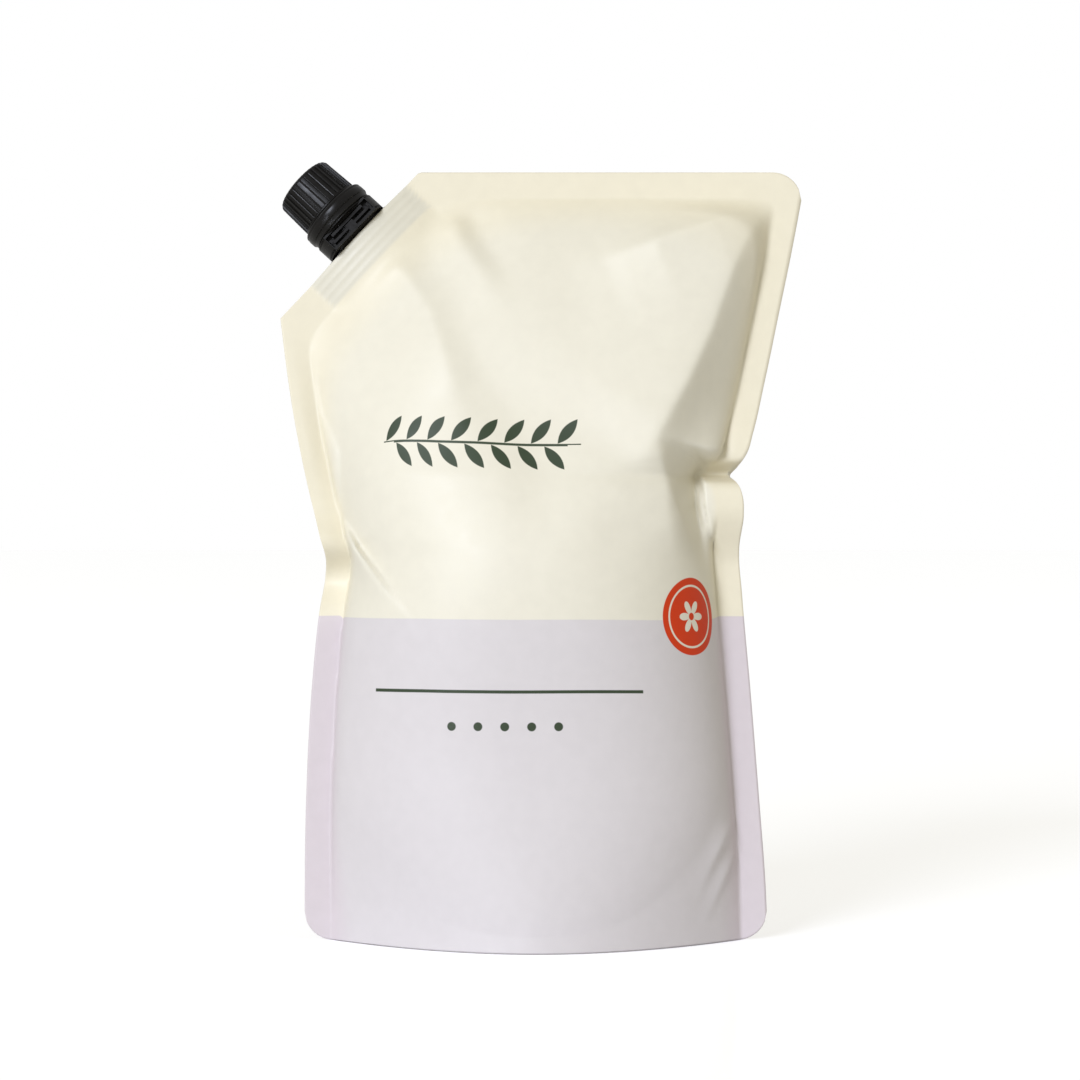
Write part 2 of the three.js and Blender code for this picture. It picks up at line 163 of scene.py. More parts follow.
# %% [markdown]
# The fill. A pouch stands off the plane of its seals like a cushion: nothing at the seals, most at the waist,
# and round at the base where the gusset opens. A cloth simulation under pressure could find this form, but its
# folds would fall where chance puts them. The depth here is one formula of the place on the film, so the film
# stays one smooth sheet, the seals stay flat, and every fold can be set one by one.

# %% Fill depth
SEAL_HALF = 0.22
SIDE_SEAL = 9
TOP_SEAL = 9
BASE_SEAL = 6
GUSSET_HEIGHT = 55
GUSSET_PILLOW = 1.3
WELD_DEPTH = 11
WELD_LENGTH = 48
LIP_HALF = 5.6
LEAN_BACK = 13
LEAN_START = 110
SHOULDER_REACH = 66
SPOUT_OFFSET = 4.6
CRIMP_COUNT = 4
CRIMP_HEIGHT = 0.14
EAR_FORWARD = 9
EAR_FOOT = (128, 150)
EAR_TOP = (157.5, 161)
EAR_RIM = 0.9
NOTCH_HEIGHT = 160.5
NOTCH_BACK = 5
NOTCH_LIP = 4
FLARE_HEIGHT = 172
FLARE_FORWARD = 2.2
LEFT_BUCKLE_HEIGHT = 131
LEFT_BUCKLE = 5

cut_along = (CUT_HIGH - CUT_LOW) / np.linalg.norm(CUT_HIGH - CUT_LOW)
cut_out = np.array([-cut_along[1], cut_along[0]])
cut_length = float(np.linalg.norm(CUT_HIGH - CUT_LOW))
belly_depth = curve_through([(0, 38), (60, 34), (WAIST_HEIGHT, 37), (200, 22), (POUCH_HEIGHT, 22)])
ear_width = curve_through([(126, 7), (136, 8.6), (144, 12.2), (154, 14.4), (161, 15.1)])


def lift_off(distance, reach):
    return 1 - (1 - np.clip(distance / reach, 0, 1)) ** 2


def from_cut(x, z):
    """Distance inside the cut corner's edge, and place along that edge from the spout."""
    dx, dz = x - CUT_LOW[0], z - CUT_LOW[1]
    inside = -(dx * cut_out[0] + dz * cut_out[1])
    return inside, dx * cut_along[0] + dz * cut_along[1] - cut_length / 2 - SPOUT_OFFSET


def filled_depth(x, z):
    from_left = np.maximum(0, x + left_edge(z) - SIDE_SEAL)
    from_right = np.maximum(0, right_edge(z) - SIDE_SEAL - x)
    from_top = np.maximum(0, POUCH_HEIGHT - TOP_SEAL - z)
    from_weld = np.maximum(0, from_cut(x, z)[0] - WELD_DEPTH)
    side = np.abs(from_right - from_left) / (from_right + from_left)
    roundness = smoothstep(z, 0, GUSSET_HEIGHT)
    section = np.maximum(0, 1 - side ** lerp(1.9, 2.4, roundness)) ** lerp(1, 0.64, roundness)
    gusset_line = BASE_SEAL + (GUSSET_HEIGHT - BASE_SEAL) * side**2.8
    pillow = GUSSET_PILLOW * section * (1 - np.exp(-np.maximum(0, z - gusset_line) / 7))
    return (belly_depth(z) * section + pillow) * lift_off(from_top, SHOULDER_REACH) * lift_off(from_weld, 50)


def weld_share(x, z):
    """One on the band of film that is pressed onto the spout's weld, nothing elsewhere."""
    inside, along = from_cut(x, z)
    ends = 1 - smoothstep(np.abs(along), WELD_LENGTH / 2 - 0.5, WELD_LENGTH / 2 + 0.7)
    return ends * (1 - smoothstep(inside, WELD_DEPTH - 0.5, WELD_DEPTH + 0.7))


def lip_depth(x, z):
    """The film's lips over the spout's weld, with the pressed lines of the weld along the edge."""
    inside, along = from_cut(x, z)
    lens = np.maximum(0, 1 - (along / (WELD_LENGTH / 2 + 1)) ** 2) ** 1.1
    lines = 0.5 - 0.5 * np.cos(2 * np.pi * CRIMP_COUNT * inside / WELD_DEPTH)
    pressed = CRIMP_HEIGHT * lines**2 * weld_share(x, z)
    return LIP_HALF * lens * (1 - smoothstep(inside, WELD_DEPTH, WELD_DEPTH + 30)) + pressed


def swing(q):
    return q * np.exp(0.5 - q * q / 2)


def hump(z, centre, width):
    return np.exp(-(((z - centre) / width) ** 2))


def ear_share(x, z):
    """One on the flat ear of film below the notch, nothing elsewhere."""
    past_width = smooth_right_edge(z) - x - ear_width(z)
    in_height = smoothstep(z, *EAR_FOOT) * (1 - smoothstep(z, *EAR_TOP))
    return in_height * (1 - smoothstep(past_width, -EAR_RIM, EAR_RIM))


def mid_plane(x, z):
    """How far back the plane of the seals lies: the pouch leans back, and its side seals buckle and flare."""
    lean = LEAN_BACK * np.maximum(0, (z - LEAN_START) / (POUCH_HEIGHT - LEAN_START)) ** 1.6
    near_right = 1 - smoothstep(smooth_right_edge(z) - x, 4, 24)
    near_left = 1 - smoothstep(x + left_edge(z), 0, 24)
    above_notch = smoothstep(z, 161.5, 166) * (1 - smoothstep(z, 167, 190))
    notch = NOTCH_BACK * hump(z, NOTCH_HEIGHT, 3) - NOTCH_LIP * above_notch
    left_flare = FLARE_FORWARD * hump(z, FLARE_HEIGHT, 24) * (1 - smoothstep(x + left_edge(z), 3, 12))
    left_buckle = LEFT_BUCKLE * swing((z - LEFT_BUCKLE_HEIGHT) / 7)
    buckles = notch * near_right - EAR_FORWARD * ear_share(x, z) - left_buckle * near_left
    return lean + buckles - left_flare


print("depth in the middle at 60, 134 and 200 mm:",
      [round(float(filled_depth(np.array(0.0), np.array(float(h)))), 1) for h in (60, 134, 200)])

# %% [markdown]
# The folds. Film bends but hardly stretches, so a pouch that is squeezed at its waist shows straight ridges and
# creases that run out into the smooth belly. Each fold here is a line of (x, height) points on the film, with a
# rise at each point, a width on each side and a rounding of its crest. Adding them to the depth is quicker to
# shape than a simulation, and each one can be set against the photograph.

# %% Folds
FOLD_FADE = 8


def fold(points, rise, left, right, rounding=3.0):
    """Left and right are the widths of its two sides, going from its first point on."""
    return {"points": np.array(points, float), "rise": rise, "left": left, "right": right, "rounding": rounding}


front_folds = {
    "right shoulder": fold(
        [(82, 257), (72, 243), (66.5, 232), (59, 211), (50, 192), (40, 174)], (2, 5, 6.5, 8, 9, 8), 20, 50, 1.5
    ),
    "top wedge": fold([(82, 256), (60, 248), (40, 241), (22, 235)], (2, 6, 7, 2.5), 40, 14, 0.8),
    "dent edge": fold([(40, 174), (41, 166), (44, 155), (49, 144), (52, 134)], (1.5, 3.5, 4, 4, 2), 9, 28, 1),
    "corner ridge": fold([(-33, 254), (-27, 240), (-19, 228)], (2.2, 2.2, 1.2), 8, 13, 2),
    "corner valley": fold([(-25, 254), (-17, 240), (-10, 229)], (-1.1, -1.2, -0.5), 16, 7, 3),
    "spout ridge": fold(
        [(-56, 237), (-47, 231), (-38, 217), (-32, 200), (-27, 186)], (3, 3, 2.6, 1.6, 0.5), 12, 24, 1
    ),
    "middle valley": fold([(-27, 220), (-16, 192), (1, 165), (5, 144)], (-1, -1.6, -1.6, -0.8), 30, 18, 9),
    "panel edge": fold([(40, 172), (24, 157), (7, 142)], (1.2, 1.5, 0.6), 20, 26, 8),
    "upper lip": fold([(40, 174), (55, 170), (64, 168), (72, 167)], (0.5, 2, 3.5, 3.5), 14, 3.5, 0.8),
    "buckle valley": fold([(50, 168), (57, 164), (66, 159.5)], (-3, -7, -8), 4, 11, 0.8),
    "ear trench": fold([(54, 163), (53.5, 150), (55.5, 137)], (-8, -11, -6), 5, 11, 1),
    "left valley": fold(
        [(-82, 203), (-76.5, 188), (-68, 169), (-68, 147), (-61, 136), (-47, 118)],
        (-0.5, -1.6, -2.2, -2.4, -2.2, -0.6), 15, 3.5, 1.2,
    ),
    "left lip": fold([(-67, 143), (-62.5, 135), (-50, 119)], (3, 5.5, 1.6), 2.4, 18, 0.7),
    "left waist valley": fold([(-73, 131), (-64, 134.5)], (-6, -2), 4, 12, 1),
    "left flank": fold(
        [(-63, 134), (-67, 111), (-69.5, 94), (-70, 58), (-72, 18)], (2.6, 2.2, 1.8, 1.6, 0.8), 12, 5, 1
    ),
    "gusset wrinkle": fold([(66, 40), (60, 29)], (1.8, 1.2), 3, 6, 0.6),
    "gusset wrinkle below": fold([(67, 29), (62, 19)], (1.5, 1), 3, 5, 0.6),
}
back_folds = {
    "back shoulder": fold([(80, 250), (62, 215), (42, 178)], (2, 4, 5), 18, 42, 5),
    "back buckle valley": fold([(42, 168), (55, 163), (66, 158.5)], (-2, -6, -8), 6, 14, 1),
    "back ear": fold([(58, 156), (61, 138)], (4, 2.5), 9, 4, 1),
    "back left valley": fold([(-72, 134), (-58, 129), (-44, 123)], (-5, -4, -1.5), 14, 6, 1),
    "back spout ridge": fold([(-56, 237), (-40, 215), (-28, 184)], (4, 3.2, 1), 10, 22, 2),
    "back corner ridge": fold([(-30, 254), (-18, 226)], (3, 1.6), 12, 12, 3),
    "back valley": fold([(-10, 232), (0, 195), (6, 150)], (-3, -3, -1), 34, 30, 12),
    "back top wedge": fold([(74, 256), (28, 238)], (2.4, 0.8), 32, 12, 3),
    "back left flank": fold([(-64, 118), (-69, 70), (-72, 22)], (1.6, 1.4, 0.6), 12, 6, 1.5),
}


def fold_rise(one, x, z):
    points = one["points"]
    runs = np.diff(points, axis=0)
    lengths = np.linalg.norm(runs, axis=1)
    starts = np.concatenate([[0], np.cumsum(lengths)])
    nearest = np.full(x.shape, np.inf)
    off, place = np.zeros(x.shape), np.zeros(x.shape)
    for k, (point, run, length) in enumerate(zip(points, runs / lengths[:, None], lengths)):
        dx, dz = x - point[0], z - point[1]
        along = dx * run[0] + dz * run[1]
        side = dx * run[1] - dz * run[0]
        low = -np.inf if k == 0 else 0
        high = np.inf if k == len(runs) - 1 else length
        held = np.clip(along, low, high)
        distance = np.hypot(along - held, side)
        closer = distance < nearest
        nearest = np.where(closer, distance, nearest)
        off = np.where(closer, np.copysign(distance, side), off)
        place = np.where(closer, starts[k] + held, place)
    spread = np.where(off < 0, one["left"], one["right"])
    rounding = one["rounding"]
    reach = np.clip((np.hypot(off, rounding) - rounding) / (np.hypot(spread, rounding) - rounding), 0, 1)
    ends = smoothstep(place, -FOLD_FADE, FOLD_FADE)
    ends = ends * (1 - smoothstep(place, starts[-1] - FOLD_FADE, starts[-1] + 2 * FOLD_FADE))
    return np.interp(place, starts, one["rise"]) * (1 - reach) ** 2 * ends


def film_depth(folds, x, z):
    filled = filled_depth(x, z) * (1 - ear_share(x, z))
    creases = sum(fold_rise(one, x, z) for one in folds.values()) * smoothstep(filled, 0, 3)
    return np.maximum(SEAL_HALF, np.hypot(np.maximum(0, filled + creases), lip_depth(x, z)))


print("folds:", len(front_folds), "in front,", len(back_folds), "behind")

# %% [markdown]
# The film sheets. Both films are grids of the same points, one in front of the mid plane and one behind it. The
# grid's lines crowd together where the film is creased most. The UV map is the flat film: its lengths run along
# the surface, so the print lies on it as ink does.

# %% Film sheets
COLUMNS = 160
ROWS = 250
BACK_SHIFT = np.array([1000.0, 0.0])


def crowded(count, places):
    """Shares from 0 to 1 that lie closer together round each (centre, width, weight)."""
    even = np.linspace(0, 1, 2001)
    density = 1 + sum(weight * np.exp(-(((even - centre) / width) ** 2)) for centre, width, weight in places)
    total = np.concatenate([[0], np.cumsum((density[1:] + density[:-1]) / 2)])
    return np.interp(np.linspace(0, 1, count + 1), total / total[-1], even)


column_shares = crowded(COLUMNS, [(0, 0.06, 0.8), (1, 0.06, 0.8), (0.9, 0.05, 1.0), (0.08, 0.05, 0.6)])
row_shares = crowded(ROWS, [(0, 0.04, 0.8), (0.6, 0.06, 1.2), (1, 0.06, 1.2)])
across, up = np.meshgrid(column_shares, row_shares, indexing="ij")
outline = film_points(across, up)
film_x, film_z = outline[..., 0], outline[..., 1]
middle = mid_plane(film_x, film_z)
front_sheet = np.stack([film_x, middle - film_depth(front_folds, film_x, film_z), film_z], -1)
back_sheet = np.stack([film_x, middle + film_depth(back_folds, film_x, film_z), film_z], -1)


def flat_lengths(sheet):
    """The place of each point on the flat film: along its row from the middle line, and up its column."""
    steps_u = np.linalg.norm(np.diff(sheet, axis=0), axis=-1)
    steps_v = np.linalg.norm(np.diff(sheet, axis=1), axis=-1)
    u = np.concatenate([np.zeros((1, ROWS + 1)), np.cumsum(steps_u, 0)], 0)
    v = np.concatenate([np.zeros((COLUMNS + 1, 1)), np.cumsum(steps_v, 1)], 1) + sheet[:, :1, 2]
    middle_u = [np.interp(0, sheet[:, row, 0], u[:, row]) for row in range(ROWS + 1)]
    return np.stack([u - np.array(middle_u), v], -1)


front_flat = flat_lengths(front_sheet)
back_flat = flat_lengths(back_sheet) + BACK_SHIFT


def flat_place(x, z):
    """Where a point of the standing front film lies on the flat film, in metres."""
    column, row = np.unravel_index(np.hypot(film_x - x, film_z - z).argmin(), film_x.shape)
    return front_flat[column, row] * MM


print("flat film:", round(float(np.ptp(front_flat[:, ROWS // 2, 0]))), "mm wide at mid height")

# %% [markdown]
# The pouch mesh. The two sheets meet in thin strips along the sealed edges and in the folded-in base, which has
# a groove inside each rim and a flat foot, so the pouch is one closed skin. Two values are kept on its points
# for the material: how far the film is filled, and where it is pressed onto the weld.

# %% Pouch mesh
GROOVE_LIFT = 3
GROOVE_INSET = 4
FOOT_INSET = 9
BASE_DEPTH = 76


class Patches:
    """Collects grids of vertices as one mesh, with a UV place for each face corner."""

    def __init__(self):
        self.points, self.faces, self.places, self.marks, self.count = [], [], [], [], 0

    def vertices(self, grid, marks):
        grid = np.asarray(grid, float)
        index = np.arange(self.count, self.count + grid[..., 0].size).reshape(grid.shape[:-1])
        self.points.append(grid.reshape(-1, 3))
        self.marks.append(np.broadcast_to(marks, grid.shape[:-1] + (2,)).reshape(-1, 2))
        self.count += index.size
        return index

    def skin(self, index, places):
        corners = [np.s_[:-1, :-1], np.s_[1:, :-1], np.s_[1:, 1:], np.s_[:-1, 1:]]
        self.faces.append(np.stack([index[c] for c in corners], -1).reshape(-1, 4))
        self.places.append(np.stack([places[c] for c in corners], -2).reshape(-1, 4, 2))

    def mesh(self, name):
        mesh = bpy.data.meshes.new(name)
        mesh.from_pydata((np.concatenate(self.points) * MM).tolist(), [], np.concatenate(self.faces).tolist())
        uv = mesh.uv_layers.new(name="film")
        uv.data.foreach_set("uv", (np.concatenate(self.places) * MM).astype(np.float32).ravel())
        marks = np.concatenate(self.marks).astype(np.float32)
        for k, mark in enumerate(("filled", "welded")):
            values = mesh.attributes.new(mark, "FLOAT", "POINT")
            values.data.foreach_set("value", np.ascontiguousarray(marks[:, k]))
        work = bmesh.new()
        work.from_mesh(mesh)
        bmesh.ops.remove_doubles(work, verts=work.verts, dist=1e-6)
        work.to_mesh(mesh)
        work.free()
        mesh.shade_smooth()
        return mesh


def base_section(front_rim, back_rim):
    """The base from the front film's rim to the back film's: a groove inside each rim, and a flat foot."""
    span = back_rim[:, 1] - front_rim[:, 1]
    opened = smoothstep(span, 2 * SEAL_HALF, BASE_DEPTH / 3)
    opened[0] = opened[-1] = 0
    half = [
        (0, 0), (GROOVE_INSET * 0.25, GROOVE_LIFT * 0.5), (GROOVE_INSET * 0.6, GROOVE_LIFT * 0.9),
        (GROOVE_INSET, GROOVE_LIFT), (lerp(GROOVE_INSET, FOOT_INSET, 0.5), GROOVE_LIFT * 0.5),
        (FOOT_INSET, 0), (BASE_DEPTH / 2, 0),
    ]
    shares = [inset / BASE_DEPTH for inset, lift in half]
    shares = np.array(shares + [1 - share for share in shares[-2::-1]])
    lifts = [lift for inset, lift in half]
    lifts = np.array(lifts + lifts[-2::-1])
    rows = []
    for k, (share, lift) in enumerate(zip(shares, lifts)):
        line_share = np.full(len(span), share)
        line_share[[0, -1]] = 0 if k < len(half) else 1
        line = lerp(front_rim, back_rim, line_share[:, None])
        line[:, 2] += lift * opened
        rows.append(line)
    return np.stack(rows, 1)


# The filled share also drives a painted sheen: the material mixes a paler, greyer colour where it is high.
filled_mark = smoothstep(filled_depth(film_x, film_z), 0.2, 9)
film_marks = np.stack([filled_mark, weld_share(film_x, film_z)], -1)
pouch_patches = Patches()
front_index = pouch_patches.vertices(front_sheet, film_marks)
back_index = pouch_patches.vertices(back_sheet, film_marks)
pouch_patches.skin(front_index, front_flat)
pouch_patches.skin(back_index[::-1], back_flat[::-1])
left_wall = np.stack([back_index[0], front_index[0]])
right_wall = np.stack([front_index[-1], back_index[-1]])
top_wall = np.stack([front_index[:, -1], back_index[:, -1]], 1)
pouch_patches.skin(left_wall, np.stack([front_flat[0]] * 2))
pouch_patches.skin(right_wall, np.stack([front_flat[-1]] * 2))
pouch_patches.skin(top_wall, np.stack([front_flat[:, -1]] * 2, 1))
base_lines = base_section(front_sheet[:, 0], back_sheet[:, 0])
base_index = pouch_patches.vertices(base_lines, (0.0, 0.0))
pouch_patches.skin(base_index[:, ::-1], np.stack([front_flat[:, 0]] * base_lines.shape[1], 1))
pouch_film = bpy.data.objects.new("pouch_film", pouch_patches.mesh("pouch_film"))
bpy.context.collection.objects.link(pouch_film)
print("pouch film:", len(pouch_film.data.polygons), "faces")

# %% [markdown]
# The printed film. The real film is a satin laminate: ink under a clear skin, in two fields of colour, cream
# above and lavender below. Where the pouch is full, the colour is mixed a little paler and greyer than on the
# flat seals. This is partly the film's tone over the soap and partly a painted sheen for the gloss of the taut film.
# The print could be a painted picture, but a few formulas in the material stay sharp at any distance. A small
# class wires the nodes, so each shape of the print is one readable line.

# %% Node wiring helper


class Wiring:
    """Adds nodes to a material: numbers go to a socket's own value, and sockets are linked."""

    def __init__(self, name):
        self.material = bpy.data.materials.new(name)
        self.material.use_nodes = True
        self.tree = self.material.node_tree
        self.shader = self.tree.nodes["Principled BSDF"]

    def feed(self, socket, value):
        if isinstance(value, bpy.types.NodeSocket):
            self.tree.links.new(value, socket)
        else:
            socket.default_value = value

    def node(self, kind, output, settings=(), **inputs):
        made = self.tree.nodes.new(kind)
        for setting, value in dict(settings).items():
            setattr(made, setting, value)
        for name, value in inputs.items():
            self.feed(made.inputs[name.replace("_", " ")], value)
        return made.outputs[output]

    def math(self, operation, *values):
        made = self.tree.nodes.new("ShaderNodeMath")
        made.operation = operation
        for socket, value in zip(made.inputs, values):
            self.feed(socket, value)
        return made.outputs[0]

    def blend(self, share, first, second):
        made = self.tree.nodes.new("ShaderNodeMix")
        made.data_type = "RGBA"
        self.feed(made.inputs["Factor"], share)
        colours = [socket for socket in made.inputs if socket.type == "RGBA"]
        for socket, value in zip(colours, (first, second)):
            self.feed(socket, value if isinstance(value, bpy.types.NodeSocket) else (*value, 1))
        return next(socket for socket in made.outputs if socket.type == "RGBA")

    def inside(self, value, limit, edge=0.12):
        """One where value is under limit, fading over a thin edge: the soft rim of an ink dot."""
        low = self.math("SUBTRACT", limit, edge)
        high = self.math("ADD", limit, edge)
        return self.node("ShaderNodeMapRange", "Result", Value=value, From_Min=low, From_Max=high, To_Min=1.0,
                         To_Max=0.0)


print("wiring helper ready")

# %% [markdown]
# The print. Every motif is a formula of the place on the flat film, in millimetres: a leaf sprig, a rule, a row of
# dots and a round badge. One leaf and one dot are drawn, and a modulo repeats them along their row.

# %% Print on the film
# The colours for the full film are paler and greyer than those for the flat seals. This is partly the film's tone
# over the soap and partly a painted sheen.
CREAM_FLAT = (0.80, 0.745, 0.585)
CREAM_FILLED_WITH_SHEEN = (0.79, 0.755, 0.635)
LAVENDER_FLAT = (0.655, 0.592, 0.612)
LAVENDER_FILLED_WITH_SHEEN = (0.67, 0.635, 0.64)
WELD_TONE = (0.70, 0.675, 0.575)
LEAF_GREEN = (0.036, 0.055, 0.027)
BADGE_ORANGE = (0.66, 0.042, 0.0)
FIELD_HEIGHT = 112
BADGE_RADIUS = 13.2
LEAF_PITCH = 9
LEAF_LENGTH = 11
LEAF_WIDTH = 3.8
SPRIG_HALF = 36

ink = Wiring("printed_film")
flat = ink.node("ShaderNodeUVMap", "UV", {"uv_map": "film"})
flat_mm = ink.node("ShaderNodeVectorMath", "Vector", {"operation": "SCALE"}, Vector=flat, Scale=1 / MM)
split = ink.tree.nodes.new("ShaderNodeSeparateXYZ")
ink.feed(split.inputs[0], flat_mm)
place_u, place_v = split.outputs["X"], split.outputs["Y"]


def from_point(x, z):
    """Sockets for the distance right of and above a point of the standing film, in flat millimetres."""
    u, v = flat_place(x, z) / MM
    return ink.math("SUBTRACT", place_u, float(u)), ink.math("SUBTRACT", place_v, float(v))


def leaf_sprig(x, z):
    """A stem with pairs of slanted leaves: one leaf is drawn, and the rest repeat along the stem."""
    right, above = from_point(x, z)
    aside = ink.math("ABSOLUTE", above)
    below = ink.math("LESS_THAN", above, 0.0)
    shifted = ink.math("ADD", right, ink.math("MULTIPLY", below, LEAF_PITCH / 2))
    in_cell = ink.math("SUBTRACT", ink.math("FLOORED_MODULO", shifted, LEAF_PITCH), LEAF_PITCH / 2)
    row_half = ink.math("SUBTRACT", SPRIG_HALF, ink.math("MULTIPLY", below, LEAF_PITCH / 2))
    slant = math.radians(52)
    from_middle = ink.math("SUBTRACT", aside, LEAF_LENGTH * 0.44)
    along = ink.math("ADD", ink.math("MULTIPLY", in_cell, math.cos(slant)),
                     ink.math("MULTIPLY", from_middle, math.sin(slant)))
    off = ink.math("SUBTRACT", ink.math("MULTIPLY", from_middle, math.cos(slant)),
                   ink.math("MULTIPLY", in_cell, math.sin(slant)))
    share = ink.math("DIVIDE", along, LEAF_LENGTH / 2)
    swell = ink.math("SUBTRACT", 1.0, ink.math("MULTIPLY", share, share))
    half_width = ink.math("MULTIPLY", swell, LEAF_WIDTH / 2)
    leaf = ink.inside(ink.math("ABSOLUTE", off), half_width)
    within = ink.inside(ink.math("ABSOLUTE", right), row_half)
    stem = ink.inside(aside, 0.45)
    return ink.math("MULTIPLY", ink.math("MAXIMUM", leaf, stem), within)


def rule(x, z, length, thickness):
    right, above = from_point(x, z)
    return ink.math("MULTIPLY", ink.inside(ink.math("ABSOLUTE", right), length / 2),
                    ink.inside(ink.math("ABSOLUTE", above), thickness / 2))


def dot_row(x, z, pitch, radius, half_length):
    right, above = from_point(x, z)
    shifted = ink.math("ADD", right, pitch / 2)
    in_cell = ink.math("SUBTRACT", ink.math("FLOORED_MODULO", shifted, pitch), pitch / 2)
    distance = ink.math("SQRT", ink.math("ADD", ink.math("POWER", in_cell, 2.0), ink.math("POWER", above, 2.0)))
    within = ink.inside(ink.math("ABSOLUTE", right), half_length)
    return ink.math("MULTIPLY", ink.inside(distance, radius), within)


def badge(x, z):
    """A plain round badge: its disc, and the pale ring and six-petalled flower on it."""
    right, above = from_point(x, z)
    distance = ink.math("SQRT", ink.math("ADD", ink.math("POWER", right, 2.0), ink.math("POWER", above, 2.0)))
    turn = ink.math("ARCTAN2", above, right)
    petals = ink.math("ABSOLUTE", ink.math("COSINE", ink.math("MULTIPLY", turn, 3.0)))
    petal_edge = ink.math("ADD", 1.6, ink.math("MULTIPLY", petals, 4.2))
    flower = ink.math("MULTIPLY", ink.inside(distance, petal_edge),
                      ink.math("SUBTRACT", 1.0, ink.inside(distance, 1.3)))
    ring = ink.math("SUBTRACT", ink.inside(distance, 10.8), ink.inside(distance, 10.1))
    return ink.inside(distance, BADGE_RADIUS), ink.math("MAXIMUM", flower, ring)


filled = ink.node("ShaderNodeAttribute", "Fac", {"attribute_name": "filled"})
welded = ink.node("ShaderNodeAttribute", "Fac", {"attribute_name": "welded"})
lower_field = ink.inside(place_v, FIELD_HEIGHT, 0.15)
# Painted sheen, in part: the filled share pales and greys the cream and lavender where the film is full.
cream = ink.blend(filled, CREAM_FLAT, CREAM_FILLED_WITH_SHEEN)
lavender = ink.blend(filled, LAVENDER_FLAT, LAVENDER_FILLED_WITH_SHEEN)
colour = ink.blend(lower_field, cream, lavender)
colour = ink.blend(ink.math("MULTIPLY", welded, 0.8), colour, WELD_TONE)
for motif in (leaf_sprig(-22, 171), rule(-12, 88, 96, 1.1), dot_row(-12, 76, 9, 1.5, 22.5)):
    colour = ink.blend(motif, colour, LEAF_GREEN)
badge_disc, badge_motif = badge(51.5, 112)
colour = ink.blend(badge_disc, colour, BADGE_ORANGE)
colour = ink.blend(badge_motif, colour, CREAM_FILLED_WITH_SHEEN)
print("print drawn with", len(ink.tree.nodes), "nodes")

# %% [markdown]
# The finish. A satin skin over the ink: faint ripples, a fine grain, and slightly uneven gloss and tone.

# %% Film finish
RIPPLE_HEIGHT = 0.0001
GRAIN_HEIGHT = 0.000004
object_place = ink.node("ShaderNodeTexCoord", "Object")
mottle = ink.node("ShaderNodeTexNoise", "Fac", Vector=object_place, Scale=220.0, Detail=3.0)
grain = ink.node("ShaderNodeTexNoise", "Fac", Vector=object_place, Scale=2600.0, Detail=2.0)
ripple = ink.node("ShaderNodeTexNoise", "Fac", Vector=object_place, Scale=55.0, Detail=2.0, Distortion=0.6)
tone = ink.node("ShaderNodeMapRange", "Result", Value=mottle, From_Min=0.3, From_Max=0.7, To_Min=0.985,
                To_Max=1.01)
colour = ink.node("ShaderNodeVectorMath", "Vector", {"operation": "SCALE"}, Vector=colour, Scale=tone)
satin = ink.node("ShaderNodeMapRange", "Result", Value=mottle, From_Min=0.3, From_Max=0.7, To_Min=0.40,
                 To_Max=0.50)
relief = ink.math("ADD", ink.math("MULTIPLY", ripple, RIPPLE_HEIGHT), ink.math("MULTIPLY", grain, GRAIN_HEIGHT))
bumped = ink.node("ShaderNodeBump", "Normal", Strength=1.0, Distance=1.0, Height=relief)
ink.feed(ink.shader.inputs["Base Color"], colour)
ink.feed(ink.shader.inputs["Roughness"], satin)
ink.feed(ink.shader.inputs["Normal"], bumped)
ink.shader.inputs["Specular IOR Level"].default_value = 0.36
pouch_film.data.materials.append(ink.material)
print("film finish: satin, with faint ripples")

# %% [markdown]
# Black plastic. The spout, band and cap are moulded in black polyethylene: a near-black colour with a soft
# gloss, a very fine grain from the tool, and slightly duller patches.

# %% Black plastic
moulded = Wiring("black_plastic")
moulded_place = moulded.node("ShaderNodeTexCoord", "Object")
patches = moulded.node("ShaderNodeTexNoise", "Fac", Vector=moulded_place, Scale=300.0, Detail=4.0)
tool_grain = moulded.node("ShaderNodeTexNoise", "Fac", Vector=moulded_place, Scale=4200.0, Detail=2.0)
gloss = moulded.node("ShaderNodeMapRange", "Result", Value=patches, From_Min=0.3, From_Max=0.7, To_Min=0.25,
                     To_Max=0.4)
black_tone = moulded.blend(patches, (0.005, 0.0045, 0.004), (0.010, 0.009, 0.008))
moulded_bump = moulded.node("ShaderNodeBump", "Normal", Strength=0.5, Distance=1.0,
                            Height=moulded.math("MULTIPLY", tool_grain, GRAIN_HEIGHT))
moulded.feed(moulded.shader.inputs["Base Color"], black_tone)
moulded.feed(moulded.shader.inputs["Roughness"], gloss)
moulded.feed(moulded.shader.inputs["Normal"], moulded_bump)
moulded.shader.inputs["Specular IOR Level"].default_value = 0.21
print("black plastic made")

# %% [markdown]
# The spout's own frame. Its axis is the axis on which the cap turns, so the place comes from the joint of the
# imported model. Everything on the spout is drawn in millimetres about that axis: x along the cut edge, y to the
# back and z out of the pouch.

